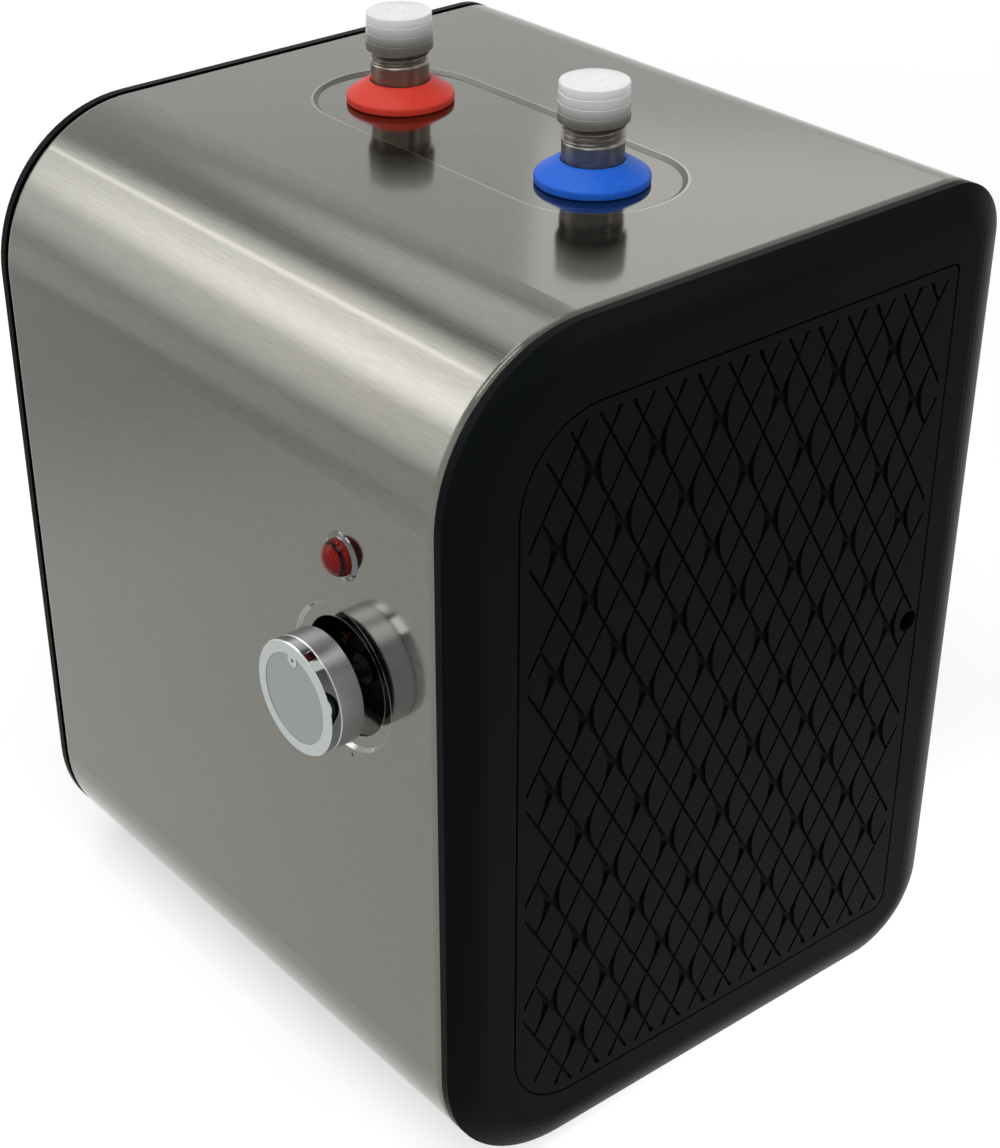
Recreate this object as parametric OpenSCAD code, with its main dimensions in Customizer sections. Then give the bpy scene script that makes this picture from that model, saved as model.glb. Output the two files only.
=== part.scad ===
// Electric storage water heater: a brushed steel sleeve closed by two moulded end covers,
// with an upright tank in foam, a screw-in element and a capillary thermostat inside.
// Millimetres. X runs from the left cover to the right one, the front faces -Y, Z is up,
// and the origin lies on the base under the middle of the sleeve.

/* [Sleeve] */
// Length of the steel sleeve between the end covers
sleeve_l = 242.4; // [238:0.1:280]
// Depth of the body, front to back
body_d = 229.3; // [222:0.1:260]
// Height of the body
body_h = 308.4; // [300:0.1:340]
// Thickness of the sleeve's sheet
sheet = 1; // [0.6:0.1:1.2]
// Corner radius, bottom back
r_bottom_back = 29.5; // [22:0.5:36]
// Corner radius, top back
r_top_back = 21.5; // [20:0.5:30]
// Corner radius, top front
r_top_front = 54.5; // [40:0.5:58]
// Corner radius, bottom front
r_bottom_front = 49.3; // [40:0.1:58]
// Outer radius of the rolled sleeve ends
roll_r = 2.5; // [1.6:0.1:3.2]

/* [End covers] */
// Height of the straight lip that meets the sleeve
lip = 3.4; // [2:0.1:5]
// Width of the sloping shoulder
shoulder_w = 13; // [10:0.5:15]
// Rise of the shoulder to the flat face
shoulder_rise = 4.8; // [3:0.1:7]
// Exponent that rounds the shoulder's slope
shoulder_curve = 1.7; // [1.2:0.1:2.5]
// Wall of the mouldings
cover_wall = 2.5; // [2:0.1:3]
// Length of the spigot inside the sleeve
spigot_l = 14; // [12:0.5:18]
// Distance of the panel groove from the outline
panel_inset = 23.3; // [21:0.1:26]
// Width of the panel groove
panel_groove_w = 0.8; // [0.5:0.1:1.2]
// Depth of the panel groove
panel_groove_d = 0.6; // [0.3:0.1:1]

/* [Lattice] */
// Distance of the lattice field from the outline
lattice_inset = 27.3; // [26:0.1:34]
// Shift of the panel and its lattice towards the back
panel_back = 1.1; // [0:0.1:2]
// Shift of the panel and its lattice downwards
panel_down = 0.5; // [0:0.1:2]
// Width of one diamond, between groove centres
diamond_w = 12.7; // [10:0.05:18]
// Height of one diamond, between groove centres
diamond_h = 21.75; // [18:0.05:30]
// Width of the grooves between the pads
lattice_groove_w = 1.1; // [0.8:0.1:2]
// Depth of the grooves
lattice_groove_d = 0.9; // [0.4:0.1:1.2]
// Radius of the pads' rounded corners at the star junctions
star_r = 16; // [8:0.5:17]

/* [Connections] */
// Position of the hot outlet along X
hot_x = -54.3; // [-60:0.1:-48]
// Spacing of the two connections
pitch = 100; // [96:1:104]
// Distance of the connections behind the middle
nipple_y = 10; // [4:0.5:14]
// Outside radius of the plain neck
neck_r = 10.15; // [9.5:0.05:10.3]
// Crest radius of the thread
thread_r = 10.4775; // [10.4:0.0005:10.6]
// Bore radius of the nipples
nipple_bore_r = 8; // [6:0.1:8.5]
// Height of the nipples above the sleeve
nipple_h = 28.7; // [26:0.1:34]
// Height where the thread starts
thread_z = 10.9; // [9:0.1:14]
// Radius of the coloured collars
collar_r = 18.75; // [17:0.05:22]
// Height of a collar's straight rim
collar_rim_h = 2.7; // [1.5:0.1:4]
// Height of a collar
collar_h = 7.5; // [6:0.1:9]
// Radius of a collar's spigot in the sleeve
collar_spigot_r = 13; // [12:0.1:15]
// Length of a collar's spigot
collar_spigot_l = 5; // [3:0.5:6]
// Depth of the pressed recess round the collars
recess_d = 1; // [0.6:0.1:1.6]
// End radius of the recess at the surface
recess_r = 30.2; // [24:0.1:34]
// Width of the recess's sloping edge
recess_slope = 1.4; // [0.8:0.1:3]

/* [Transit caps] */
// Outside radius at the cap's mouth
cap_mouth_r = 11.6; // [11.5:0.05:12.5]
// Outside radius at the cap's top
cap_top_r = 11.25; // [11.2:0.05:11.5]
// Number of moulded steps on the cap
cap_rings = 4; // [2:1:6]
// Height of a cap
cap_h = 12.4; // [10:0.1:16]
// Thickness of a cap's top
cap_top = 1.2; // [0.8:0.1:2]
// Height by which the cold cap stands off its seat
cold_cap_raise = 1.7; // [0:0.1:3]

/* [Front controls] */
// Distance of the knob's axis from the sleeve's right end
knob_from_end = 47.3; // [44:0.1:54]
// Distance of the knob's axis below the lamp
knob_drop = 45; // [40:0.5:60]
// Radius of the pressed dish round the knob
dish_r = 25.2; // [24.8:0.1:28]
// Radius of the dish's floor
dish_floor_r = 24; // [22:0.1:24.4]
// Depth of the dish
dish_d = 1.4; // [1:0.1:3]
// Radius of the opening in the dish
dish_hole_r = 20.2; // [16:0.1:21]
// Radius of the punched pin hole below the dish
pin_hole_r = 0.6; // [0.4:0.1:1]
// Radius of the knob
knob_r = 19.3; // [17:0.1:22]
// Distance of the knob's back edge from the sleeve
knob_gap = 5.5; // [4:0.1:8]
// Length of the satin knob body
knob_body_l = 8.7; // [8:0.1:12]
// Length of the bright knob ring
knob_ring_l = 4; // [3.2:0.1:6]
// Wall of the knob's skirt
knob_wall = 2.2; // [1.5:0.1:3]
// Radius of the inlaid disc
disc_r = 15.2; // [13:0.1:15.5]
// Thickness of the inlaid disc
disc_t = 1.2; // [0.8:0.1:1.6]
// Radius of the pointer lug in the knob's face
lug_r = 2.3; // [1.8:0.1:2.6]
// Radius of the dimple in the lug
dimple_r = 0.7; // [0.4:0.1:1]
// Distance of the lamp from the sleeve's right end
lamp_from_end = 44.7; // [42:0.1:50]
// Distance of the lamp below the top
lamp_from_top = 78.9; // [72:0.1:90]
// Radius of the lamp bezel at the sleeve
bezel_r = 8; // [7.5:0.1:10]
// Height of the lamp bezel
bezel_h = 1; // [0.9:0.1:2]
// Radius of the lamp lens
lens_r = 6.1; // [5.7:0.1:6.2]
// Height of the lens's crown above the bezel
lens_crown = 5.3; // [3:0.1:7]
// Radius of the lamp's threaded shank
shank_r = 5.6; // [5:0.1:5.6]

/* [Thermostat] */
// Depth of the bracket's web behind the sleeve
bracket_depth = 13; // [11:0.5:15]
// Width of the bracket's web
bracket_w = 56; // [52:1:60]
// Height of the bracket
bracket_h = 40; // [36:1:46]
// Sheet of the brackets
bracket_t = 1.2; // [1:0.1:1.6]
// Width of the thermostat's case
case_w = 36; // [34:0.5:40]
// Height of the thermostat's case
case_h = 45; // [40:0.5:50]
// Depth of the thermostat's case
case_d = 20; // [18:0.5:22]
// Spacing of the thermostat's screws
case_screw_pitch = 28; // [26:0.5:30]
// Turn of the screw line from level
case_screw_turn = -16; // [-30:1:30]
// Outside radius of the brass bush
bush_r = 5; // [4.6:0.1:6]
// Radius of the shaft
shaft_r = 3; // [2.8:0.05:3.2]
// Distance from the shaft's axis to its flat
shaft_flat = 2.3; // [2:0.05:2.5]

/* [Tank] */
// Length of the electrical bay between the tank and the sleeve's right end
bay_l = 37.5; // [36:0.5:42]
// Room between the tank and the back
back_room = 16.65; // [13:0.05:20]
// Wall of the tank
tank_wall = 1.5; // [1:0.1:2]
// Height of the tank's domed heads
dome_h = 28; // [22:0.5:32]
// Height of the tank's lowest point
tank_foot = 26; // [24:0.5:32]
// Space between the tank's highest point and the top of the sleeve
tank_headroom = 26; // [24:0.5:32]
// Foam thickness beside the tank at the electrical end
foam_side = 4.3; // [3:0.1:5]
// Outside radius of the cold dip tube
dip_r = 7; // [5.5:0.1:7]
// Wall of the dip tube
dip_wall = 1.2; // [1:0.1:1.6]
// Height of the dip tube's lower end
dip_end = 44; // [40:0.5:60]

/* [Heating element] */
// Height of the socket above the tank's lower seam
element_rise = 3; // [1:0.5:10]
// Outside radius of the welded socket
socket_r = 25; // [24.5:0.1:27]
// Distance of the socket's face from the tank
socket_proud = 13.3; // [12:0.1:14]
// Thread radius of the screw plug
plug_r = 20.9; // [20.6:0.1:21.5]
// Width across the flats of the plug
plug_hex = 50; // [48:0.5:52]
// Height of the plug's hexagon
plug_head = 7; // [5:0.5:8]
// Thickness of the sealing ring
gasket_t = 2; // [1.5:0.1:3]
// Radius of the heating rod
rod_r = 4; // [3.5:0.1:4.2]
// Half the spacing of the rod's two legs, wide enough for the dip tube between them
rod_half = 13; // [12.5:0.1:13.5]
// Length of the rod inside the tank
rod_l = 130; // [110:1:140]
// Outside radius of the sensor pocket
pocket_r = 4.6; // [4.2:0.1:4.8]
// Distance of the sensor pocket in front of the element's axis
pocket_side = 12.5; // [12.2:0.1:13]
// Length of the sensor pocket inside the tank
pocket_l = 95; // [80:1:110]
// Radius of the sensor bulb
bulb_r = 3.4; // [3:0.1:3.4]
// Radius of the capillary
capillary_r = 1; // [0.8:0.1:1.2]

/* [Cut-out and wiring] */
// Distance of the reset hole from the back
reset_from_back = 27.4; // [25:0.1:32]
// Distance of the reset hole below the middle
reset_drop = 2.2; // [0:0.1:8]
// Radius of the reset hole
reset_hole_r = 4; // [3.5:0.1:4.5]
// Depth of the button's face below the cover
reset_sunk = 5; // [4:0.1:6]
// Travel of the reset button
reset_travel = 2.5; // [1.5:0.1:2.5]
// Length of the button's head
reset_head = 5; // [5:0.1:6]
// Radius of the button's stem
reset_stem_r = 2; // [1.8:0.05:2.2]
// Radius of the thermal cut-out
cutout_r = 11; // [10:0.1:13]
// Length of the thermal cut-out
cutout_l = 12; // [10:0.1:12]
// Distance of the terminal block below the reset hole
terminal_drop = 44; // [40:0.5:50]
// Spacing of the three terminals
terminal_pitch = 12; // [11:0.1:13]
// Height of the cord grommet
grommet_z = 45; // [40:0.5:60]
// Bore radius of the cord grommet
grommet_bore_r = 3.6; // [3:0.1:4]

/* [Hanging] */
// Spacing of the two hanging slots
hanger_pitch = 130; // [110:1:140]
// Distance of the hanging slots below the bend at the top of the back
hanger_drop = 24.9; // [22:0.1:40]
// Length of a hanging slot
slot_l = 20; // [16:0.5:24]
// Width of a hanging slot
slot_w = 8; // [6:0.5:9]
// Depth of the rail behind the slots
rail_depth = 8; // [6:0.5:8]
// Height of the rail's channel
rail_h = 22; // [18:0.5:24]

/* [Clearances] */
// Gap of parts that slip into each other
slip = 0.05; // [0.02:0.01:0.1]
// Gap of parts that lie beside each other
ease = 0.3; // [0.2:0.05:0.4]

/* [Hidden] */
$fn = 64;

steel = "#b9b8b3";
black = "#1b1d1f";

// Overrun of a cut past the face it opens
over = 0.5;
// Length past which a cutting box covers the whole object
big = 2 * (sleeve_l + body_d + body_h);
end_x = sleeve_l / 2;
half_d = body_d / 2;
mid_z = body_h / 2;
cold_x = hot_x + pitch;

// The outline's corners in order: bottom back, top back, top front, bottom front
corner_radius = [r_bottom_back, r_top_back, r_top_front, r_bottom_front];
corner_side = [[1, -1], [1, 1], [-1, 1], [-1, -1]];
least_corner = 3;
function corner_r(i, inset) = max(corner_radius[i] - inset, least_corner);
function corner_at(i, inset) = let (r = corner_r(i, inset))
  [corner_side[i].x * (half_d - inset - r), mid_z + corner_side[i].y * (mid_z - inset - r)];
function on_corner(i, inset, angle) =
  corner_at(i, inset) + corner_r(i, inset) * [cos(angle), sin(angle)];
function outline_points(inset, steps) = [for (i = [0:3]) for (k = [0:steps])
  on_corner(i, inset, 90 * (i - 1) + 90 * k / steps)];

// End covers
cover_face = lip + shoulder_rise;
spigot_out = roll_r + ease;
spigot_in = spigot_out + cover_wall;
plate_inset = shoulder_w + 3;
shoulder_steps = 5;
cover_screw_x = end_x - spigot_l / 2;
cover_screw_z = [0.2 * body_h, 0.8 * body_h];
cover_screw_r = 1.6;
cover_screw_head_r = 3.4;
cover_screw_head_h = 2.2;
cover_screw_l = 9;
cross_l = 4;
cross_d = 1;
cover_boss_r = 4;
cover_boss_l = 7;

// Lattice: diamonds of half axes a and b, whose pads are inset by half a groove
half_w = diamond_w / 2;
half_h = diamond_h / 2;
side_gap = half_w * half_h / norm([half_w, half_h]);
pad_scale = (side_gap - lattice_groove_w / 2) / side_gap;
pad_w = half_w * pad_scale;
pad_h = half_h * pad_scale;
corner_half = atan(half_h / half_w);
star_steps = 4;
panel_at = [panel_back, -panel_down];

// Connections
collar_z = body_h - recess_d;
nipple_foot = body_h - tank_headroom - dome_h / 2;
cap_seat_z = body_h + nipple_h - (cap_h - cap_top);
cap_bore_r = thread_r + ease;

// Front controls, with depths as distances out of the sleeve's front
knob_x = end_x - knob_from_end;
lamp_x = end_x - lamp_from_end;
lamp_z = body_h - lamp_from_top;
knob_z = lamp_z - knob_drop;
knob_ring_z = knob_gap + knob_body_l;
knob_face_z = knob_ring_z + knob_ring_l;
hub_r = shaft_r + 3;
knob_web = 3;
knob_edge = 0.3;
knob_bevel = 0.4;
disc_sunk = 0.15;
dimple_d = 0.8;
shaft_tip_z = knob_ring_z - 2;
lug_y = disc_r - 1.4;
pin_hole_at = [4, -dish_r - 1.9];
web_z = -bracket_depth;
case_z = web_z - bracket_t;
bush_top_z = web_z + 5;
bush_l = 12;
shaft_foot_z = case_z - 14;
bracket_foot = 7;
case_edge = 3;
case_screw_l = 5;
screw_head_h = 2.4;
blade_w = 6.3;
blade_t = 0.8;
blade_l = 8;
slot_t = 0.8;
screw_head_r = 2.6;
screw_r = 1.9;

// Tank
tank_x = hot_x + pitch / 2;
tank_y = nipple_y;
bay_x = end_x - bay_l;
tank_r = min(bay_x - tank_x, half_d - tank_y - back_room);
dome_steps = 8;
shell_low = tank_foot + dome_h;
shell_high = body_h - tank_headroom - dome_h;
foam_right = bay_x + foam_side;
foam_left = -(end_x - spigot_l - ease);
foam_room = 4;
dip_plug_l = 10;
dip_shoulder = 1;
dip_port_r = 2.5;
dip_port_rise = 6;

// Element: places along X
socket_x0 = tank_x + sqrt(tank_r * tank_r - socket_r * socket_r) - 2;
socket_x1 = bay_x + socket_proud;
plug_face = socket_x1 + gasket_t;
plug_end = plug_face + plug_head;
element_z = shell_low + socket_r + element_rise;
rod_drop = 5;
rod_z = element_z - rod_drop;
pocket_rise = 8;
pocket_z = element_z + pocket_rise;
pocket_y = tank_y - pocket_side;
capillary_x = plug_end + 5;
capillary_y = -half_d - case_z + case_d / 2;

// Cut-out and wiring: places along X
reset_y = half_d - reset_from_back;
reset_z = mid_z - reset_drop;
terminal_z = reset_z - terminal_drop;
reset_face = end_x + cover_face - reset_sunk;
reset_back = reset_face - reset_head;
nose_end = reset_back - reset_travel - ease;
nose_l = 2;
nose_r = 4.5;
stem_l = 6;
cutout_face = nose_end - nose_l;
plate_t = 1.5;
plate_x = cutout_face - cutout_l - plate_t;
plate_in_y = reset_y - cutout_r - 4;
plate_foot = 9;
earth_rise = 8;
plate_low = terminal_z - 1.5 * terminal_pitch - 2 * earth_rise;
plate_high = reset_z + cutout_r + 5;
terminal_d = 12;
terminal_w = 22;
terminal_screw_r = 2.2;
terminal_floor = 4;
wire_hole_r = 1.8;
grommet_x = foam_right + 8.5;
grommet_hole_r = 6;
grommet_r = 8;
grommet_lip = 3;
earth_r = 2;
earth_head_r = 4;
earth_head_h = 3;
earth_l = 12;

// Hanging rail
hanger_z = body_h - r_top_back - hanger_drop;
rail_l = hanger_pitch + 2 * slot_l;
rail_foot = 8;

module on_right() translate([end_x, 0, 0]) rotate([90, 0, 90]) children();
module on_front(x, z) translate([x, -half_d, z]) rotate([90, 0, 0]) children();
module on_back(x, z) translate([x, half_d, z]) rotate([-90, 0, 0]) children();
module along_x(x, y, z) translate([x, y, z]) rotate([0, 90, 0]) children();
module at_nipple(x, z) translate([x, nipple_y, z]) children();

// Rounded outline of the body, drawn in by an inset
module outline(inset = 0) {
  polygon(outline_points(inset, 1));
  for (i = [0:3])
    translate(corner_at(i, inset)) circle(corner_r(i, inset));
}

// Section carried round the outline; its points are [inset, height]
module rim(section) {
  for (i = [0:3]) {
    way = corner_at((i + 1) % 4, 0) - corner_at(i, 0);
    along = abs(way * [sin(90 * i), cos(90 * i)]);
    points = [for (p = section) [corner_radius[i] - p.x, p.y]];
    translate(corner_at(i, 0)) rotate(90 * (i - 1)) rotate_extrude(angle = 90) polygon(points);
    translate(corner_at(i, 0)) rotate(90 * i) translate([0, along, 0]) rotate([90, 0, 0])
      linear_extrude(along) polygon(points);
  }
}

module rounded_rect(w, h, r) {
  square([w - 2 * r, h], center = true);
  square([w, h - 2 * r], center = true);
  for (x = [-1, 1], y = [-1, 1])
    translate([x * (w / 2 - r), y * (h / 2 - r)]) circle(r);
}

// Long round-ended shape along X, from one centre to the other, with sloping sides
module stadium(r1, r2, h, l) {
  for (x = [0, l])
    translate([x, 0, 0]) cylinder(r1 = r1, r2 = r2, h = h);
  rotate([90, 0, 90]) linear_extrude(l) polygon([[-r1, 0], [r1, 0], [r2, h], [-r2, h]]);
}

// Hat section of bent sheet: web on the ground, feet at the given depth
module hat(w, depth, foot, t, l) {
  inner = w / 2 - t;
  linear_extrude(l) polygon([
    [-w / 2, 0], [w / 2, 0], [w / 2, depth - t], [w / 2 + foot, depth - t],
    [w / 2 + foot, depth], [inner, depth], [inner, t], [-inner, t], [-inner, depth],
    [-w / 2 - foot, depth], [-w / 2 - foot, depth - t], [-w / 2, depth - t]]);
}

module tube(r_out, r_in, h) difference() {
  cylinder(r = r_out, h = h);
  translate([0, 0, -over]) cylinder(r = r_in, h = h + 2 * over);
}

// Round wire through a list of points
module wire(points, r) {
  for (k = [1:len(points) - 1]) {
    way = points[k] - points[k - 1];
    translate(points[k - 1])
      rotate([0, acos(way.z / norm(way)), atan2(way.y, way.x)]) cylinder(r = r, h = norm(way));
  }
  for (k = [1:len(points) - 2])
    translate(points[k]) sphere(r);
}

module sleeve_end() rim(concat(
  [for (k = [0:4]) roll_r * [1 - cos(22.5 * k), sin(22.5 * k) - 1]],
  [for (k = [4:-1:0]) [roll_r, -roll_r] + (roll_r - sheet) * [-cos(22.5 * k), sin(22.5 * k)]]));

module sleeve() color(steel) difference() {
  union() {
    on_right() translate([0, 0, roll_r - sleeve_l]) linear_extrude(sleeve_l - 2 * roll_r)
      difference() {
        outline();
        outline(sheet);
      }
    on_right() sleeve_end();
    mirror([1, 0, 0]) on_right() sleeve_end();
    at_nipple(hot_x, collar_z - sheet)
      stadium(recess_r - recess_slope + sheet / 2, recess_r + sheet / 2, recess_d + sheet / 2, pitch);
    on_front(knob_x, knob_z) translate([0, 0, -dish_d - sheet])
      cylinder(r1 = dish_floor_r + sheet / 2, r2 = dish_r + sheet / 2, h = dish_d + sheet / 2);
  }
  at_nipple(hot_x, collar_z)
    stadium(recess_r - recess_slope, recess_r + recess_slope * over / recess_d, recess_d + over, pitch);
  for (x = [hot_x, cold_x])
    at_nipple(x, collar_z - 2 * sheet) cylinder(r = collar_spigot_r + ease, h = 4 * sheet);
  on_front(knob_x, knob_z) {
    translate([0, 0, -dish_d]) cylinder(r1 = dish_floor_r, h = dish_d + over,
      r2 = dish_r + (dish_r - dish_floor_r) * over / dish_d);
    translate([0, 0, -dish_d - 2 * sheet]) cylinder(r = dish_hole_r, h = 4 * sheet);
    translate(pin_hole_at) cylinder(r = pin_hole_r, h = 4 * sheet, center = true);
  }
  on_front(lamp_x, lamp_z) translate([0, 0, -2 * sheet]) cylinder(r = shank_r + ease, h = 4 * sheet);
  for (x = [-1, 1])
    on_back(x * hanger_pitch / 2 - (slot_l - slot_w) / 2, hanger_z) translate([0, 0, -2 * sheet])
      stadium(slot_w / 2, slot_w / 2, 4 * sheet, slot_l - slot_w);
  on_back(grommet_x, grommet_z) translate([0, 0, -2 * sheet]) cylinder(r = grommet_hole_r, h = 4 * sheet);
  for (x = [-1, 1], z = cover_screw_z)
    on_back(x * cover_screw_x, z) translate([0, 0, -2 * sheet])
      cylinder(r = cover_screw_r + ease, h = 4 * sheet);
}

// Corner of a pad rounded towards one side, where a star junction opens, or a gap outside it
function star_corner(side, gap = 0) = [for (k = [0:star_steps])
  let (turn = (2 * k / star_steps - 1) * (90 - corner_half), r = star_r + gap)
  side * [pad_w - star_r / sin(corner_half) + r * cos(turn), r * sin(turn)]];
// Outline of one pad: a diamond, or one with its left (-1) or right (1) corner rounded
function pad_points(side) = side == 0
  ? [[pad_w, 0], [0, pad_h], [-pad_w, 0], [0, -pad_h]]
  : concat(star_corner(side), side * [[0, pad_h], [-pad_w, 0], [0, -pad_h]]);
// Every second row is plain; in the others each pad has a star on one side, in turn
function pad_side(row, column) =
  row % 2 != 0 ? 0 : (column + row / 2) % 2 == 0 ? -1 : 1;
function pad_at(row, column) =
  panel_at + [diamond_w * (column + (row % 2 == 0 ? 0.5 : 0)), mid_z + half_h * row];
// Margin past a rounded corner, which closes the half star at a side of the field
function margin_points(side) =
  concat(star_corner(side, lattice_groove_w), side * [[diamond_w, half_h], [diamond_w, -half_h]]);
function at_side(row, column, side) =
  abs(pad_at(row, column).x + side * half_w - panel_back) > half_d - lattice_inset;

// True where a point lies inside the outline at an inset
function in_corner(p, i, inset) = let (d = p - corner_at(i, inset))
  d.x * corner_side[i].x < 0 || d.y * corner_side[i].y < 0 || norm(d) < corner_r(i, inset);
function inside(p, inset) = abs(p.x) < half_d - inset && abs(p.y - mid_z) < mid_z - inset
  && min([for (i = [0:3]) in_corner(p, i, inset) ? 1 : 0]) == 1;

// Groove network: the lattice field less every pad near it
module lattice_grooves() difference() {
  rows = ceil(mid_z / half_h);
  columns = ceil(half_d / diamond_w);
  translate(panel_at) outline(lattice_inset);
  for (row = [-rows:rows], column = [-columns:columns])
    if (inside(pad_at(row, column), plate_inset)) translate(pad_at(row, column)) {
      side = pad_side(row, column);
      polygon(pad_points(side));
      if (side != 0 && at_side(row, column, side)) polygon(margin_points(side));
    }
}

// Section of a cover's edge: lip, sloping shoulder, flat margin, and the spigot inside
cover_section = concat(
  [[0, ease]],
  [for (k = [0:shoulder_steps]) let (s = k / shoulder_steps)
    [shoulder_w * s, lip + shoulder_rise * (1 - pow(1 - s, shoulder_curve))]],
  [[plate_inset, cover_face], [plate_inset, cover_face - cover_wall],
    [shoulder_w, cover_face - cover_wall], [spigot_in, ease], [spigot_in, -spigot_l],
    [spigot_out, -spigot_l], [spigot_out, ease]]);

// A cover before its lattice is cut: edge, plate, screw bosses and the panel's groove
module cover_blank() difference() {
  union() {
    rim(cover_section);
    translate([0, 0, cover_face - cover_wall]) linear_extrude(cover_wall) outline(plate_inset);
    for (z = cover_screw_z)
      translate([half_d - spigot_in - cover_boss_l, z, -spigot_l / 2]) rotate([0, 90, 0])
        cylinder(r = cover_boss_r, h = cover_boss_l + cover_wall / 2);
  }
  for (z = cover_screw_z)
    translate([half_d - spigot_in - cover_boss_l - over, z, -spigot_l / 2]) rotate([0, 90, 0])
      cylinder(r = cover_screw_r + slip, h = big);
  translate([0, 0, cover_face - panel_groove_d]) linear_extrude(panel_groove_d + over)
    translate(panel_at) difference() {
      outline(panel_inset);
      outline(panel_inset + panel_groove_w);
    }
}

module lattice_cut() translate([0, 0, cover_face - lattice_groove_d])
  linear_extrude(lattice_groove_d + over) lattice_grooves();

module right_end_cover() color(black) on_right() difference() {
  cover_blank();
  translate([reset_y, reset_z, 0]) cylinder(r = reset_hole_r, h = 2 * cover_face);
  lattice_cut();
}

module left_end_cover() color(black) mirror([1, 0, 0]) on_right() difference() {
  cover_blank();
  lattice_cut();
}

module cover_screws() color("#8d8f92")
  for (x = [-1, 1], z = cover_screw_z)
    on_back(x * cover_screw_x, z) difference() {
      union() {
        translate([0, 0, -cover_screw_l]) cylinder(r = cover_screw_r, h = cover_screw_l);
        cylinder(r1 = cover_screw_head_r, r2 = cover_screw_head_r * 0.7, h = cover_screw_head_h);
      }
      for (turn = [0, 90])
        rotate(turn) translate([-cross_l / 2, -slot_t / 2, cover_screw_head_h - cross_d])
          cube([cross_l, slot_t, 2 * cross_d]);
    }

module hanger_rail() color("#a9abad")
  translate([-rail_l / 2, half_d - sheet - rail_depth, hanger_z]) rotate([90, 0, 90])
    rotate(-90) hat(rail_h, rail_depth, rail_foot, bracket_t, rail_l);

module collar() rotate_extrude() polygon([
  [neck_r + slip, -collar_spigot_l], [collar_spigot_r, -collar_spigot_l], [collar_spigot_r, 0],
  [collar_r, 0], [collar_r, collar_rim_h], [neck_r + 1.2, collar_h], [neck_r + slip, collar_h]]);

module hot_collar() color("#d2413a") at_nipple(hot_x, collar_z) collar();
module cold_collar() color("#1f5fc8") at_nipple(cold_x, collar_z) collar();

module nipple(x) at_nipple(x, 0) rotate_extrude() polygon([
  [nipple_bore_r, nipple_foot], [neck_r, nipple_foot], [neck_r, body_h + thread_z],
  [thread_r, body_h + thread_z + 0.5], [thread_r, body_h + nipple_h - 1],
  [thread_r - 1, body_h + nipple_h], [nipple_bore_r, body_h + nipple_h]]);

module hot_nipple() color("#8f8d88") nipple(hot_x);
module cold_nipple() color("#8f8d88") nipple(cold_x);

// Transit cap, stepped in from its mouth to its top
module cap() {
  ring_h = cap_h / cap_rings;
  rotate_extrude() polygon(concat(
    [[cap_bore_r, 0]],
    [for (k = [0:cap_rings - 1]) for (top = [0, 1])
      [cap_mouth_r - (cap_mouth_r - cap_top_r) * k / (cap_rings - 1), ring_h * (k + top)]],
    [[0, cap_h], [0, cap_h - cap_top], [cap_bore_r, cap_h - cap_top]]));
}

module hot_cap() color("#e9ecef") at_nipple(hot_x, cap_seat_z) cap();
module cold_cap() color("#e9ecef") at_nipple(cold_x, cap_seat_z + cold_cap_raise) cap();

// D-shaped section of the shaft's upper end
module shaft_section(gap = 0) difference() {
  circle(shaft_r + gap);
  translate([-big / 2, shaft_flat + gap]) square(big);
}

module on_knob() on_front(knob_x, knob_z) children();

module knob_body() color("#b4b6b8") on_knob() difference() {
  rotate_extrude() polygon([
    [0, knob_gap], [hub_r, knob_gap], [hub_r, knob_ring_z - knob_web],
    [knob_r - knob_wall, knob_ring_z - knob_web], [knob_r - knob_wall, knob_gap],
    [knob_r - knob_edge, knob_gap], [knob_r, knob_gap + knob_edge],
    [knob_r, knob_ring_z - knob_edge], [knob_r - knob_edge, knob_ring_z], [0, knob_ring_z]]);
  translate([0, 0, knob_gap - over]) linear_extrude(shaft_tip_z + slip - knob_gap + over)
    shaft_section(slip);
}

module knob_ring() color("#d9dbdc") on_knob() difference() {
  union() {
    difference() {
      rotate_extrude() polygon([
        [0, knob_ring_z], [knob_r - knob_edge, knob_ring_z], [knob_r, knob_ring_z + knob_edge],
        [knob_r, knob_face_z - knob_bevel], [knob_r - knob_bevel, knob_face_z], [0, knob_face_z]]);
      translate([0, 0, knob_face_z - disc_t]) cylinder(r = disc_r + slip, h = disc_t + over);
    }
    translate([0, lug_y, knob_face_z - disc_t]) cylinder(r = lug_r, h = disc_t);
  }
  translate([0, lug_y, knob_face_z - dimple_d]) cylinder(r = dimple_r, h = dimple_d + over);
}

module knob_disc() color("#c3c7c9") on_knob() translate([0, 0, knob_face_z - disc_t]) difference() {
  cylinder(r = disc_r, h = disc_t - disc_sunk);
  translate([0, lug_y, -over]) cylinder(r = lug_r + slip, h = disc_t + 2 * over);
}

module thermostat_shaft() color("#c9c6bd") on_knob() {
  translate([0, 0, shaft_foot_z]) cylinder(r = shaft_r, h = knob_gap - shaft_foot_z);
  translate([0, 0, knob_gap]) linear_extrude(shaft_tip_z - knob_gap) shaft_section();
}

module thermostat_bush() color("#b98b4a") on_knob() translate([0, 0, bush_top_z - bush_l])
  tube(bush_r, shaft_r + slip, bush_l);

module at_case_screws() rotate(case_screw_turn) for (x = [-1, 1])
  translate([x * case_screw_pitch / 2, 0, 0]) children();

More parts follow.
